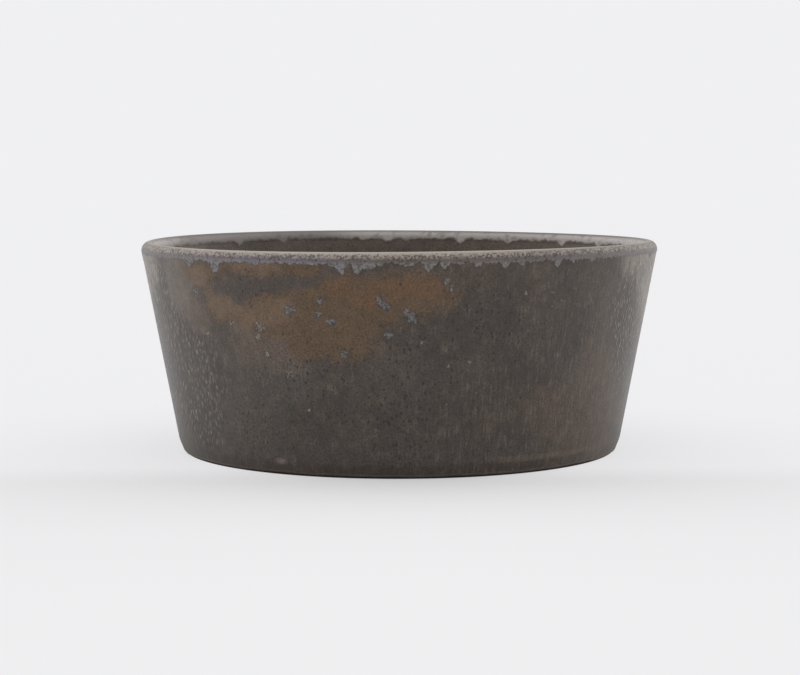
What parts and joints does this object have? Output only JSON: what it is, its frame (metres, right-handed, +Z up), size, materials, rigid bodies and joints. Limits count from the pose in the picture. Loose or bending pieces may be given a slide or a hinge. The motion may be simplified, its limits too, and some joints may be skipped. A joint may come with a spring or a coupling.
{
  "type": "ikebana suiban",
  "caption": "Low round stoneware bowl for flower arranging: straight flared wall, dark glaze, pale rim glaze with runs, and a pin holder that lifts out.",
  "frame": {"origin": "middle of the foot ring, on the surface the bowl stands on", "axes": "+Z up along the bowl's axis, -Y towards the side that faces the viewer"},
  "size_m": [0.24, 0.24, 0.098],
  "materials": {
    "stoneware": "bare fired clay, matte",
    "dark_glaze": "satin-matte, speckled",
    "pale_glaze": "satin, thin over the crest of the lip",
    "cast_alloy": "dull as-cast grey",
    "brass": "drawn wire, ground points",
    "rubber": "matte"
  },
  "bodies": {
    "vessel": {"clay_body": "stoneware", "body_glaze": "dark_glaze", "rim_glaze": "pale_glaze"},
    "pin_holder": {"kenzan_base": "cast_alloy", "kenzan_pins": "brass", "kenzan_ring": "rubber"}
  },
  "joints": [
    {"name": "pin_holder_lift", "type": "slide", "parent": "vessel", "child": "pin_holder", "axis": [0, 0, 1], "range_m": [0, 0.1]}
  ]
}
